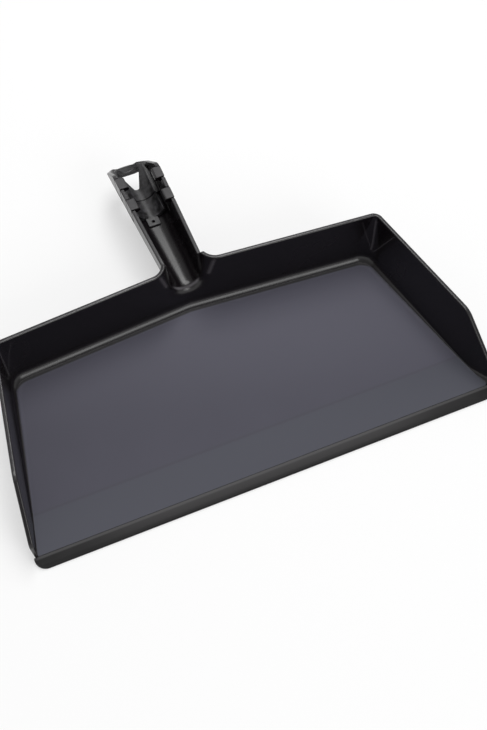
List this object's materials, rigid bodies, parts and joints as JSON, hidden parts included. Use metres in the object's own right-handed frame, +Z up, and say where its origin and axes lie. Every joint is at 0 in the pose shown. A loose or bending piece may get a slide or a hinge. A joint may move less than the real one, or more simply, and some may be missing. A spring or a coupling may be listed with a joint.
{
  "type": "dustpan",
  "caption": "Wide dustpan with a soft front lip, sloping side walls and an open channel handle that grips a brush handle between sprung snap tongues and ends in a triangular hanging eye.",
  "frame": {"origin": "on the ground under the middle of the part's outline, between the lip's nose and the handle's end", "axes": "+X along the mouth to the user's right, +Y from the mouth to the handle's end, +Z up"},
  "size_m": [0.3082, 0.254, 0.0445],
  "materials": {
    "black_plastic": "satin, finely grained on the tray's floor",
    "insert_plastic": "satin",
    "lip_rubber": "matt"
  },
  "bodies": {
    "dustpan": {"pan": "black_plastic", "lip_strip": "lip_rubber", "seat_insert": "insert_plastic"},
    "tongue_left_inner": {"snap_left_inner": "black_plastic"},
    "tongue_left_outer": {"snap_left_outer": "black_plastic"},
    "tongue_right_inner": {"snap_right_inner": "black_plastic"},
    "tongue_right_outer": {"snap_right_outer": "black_plastic"}
  },
  "joints": [
    {"name": "flex_left_inner", "type": "hinge", "parent": "dustpan", "child": "tongue_left_inner", "pos_m": [-0.01292, 0.07715, 0.0307], "axis": [0.0288, -0.9996, 0], "range_deg": [0, 6], "stiffness_Nm_per_rad": 1},
    {"name": "flex_left_outer", "type": "hinge", "parent": "dustpan", "child": "tongue_left_outer", "pos_m": [-0.01347, 0.09615, 0.0307], "axis": [0.0288, -0.9996, 0], "range_deg": [0, 6], "stiffness_Nm_per_rad": 1},
    {"name": "flex_right_inner", "type": "hinge", "parent": "dustpan", "child": "tongue_right_inner", "pos_m": [0.01292, 0.07715, 0.0307], "axis": [0.0288, 0.9996, 0], "range_deg": [0, 6], "stiffness_Nm_per_rad": 1},
    {"name": "flex_right_outer", "type": "hinge", "parent": "dustpan", "child": "tongue_right_outer", "pos_m": [0.01347, 0.09615, 0.0307], "axis": [0.0288, 0.9996, 0], "range_deg": [0, 6], "stiffness_Nm_per_rad": 1}
  ]
}
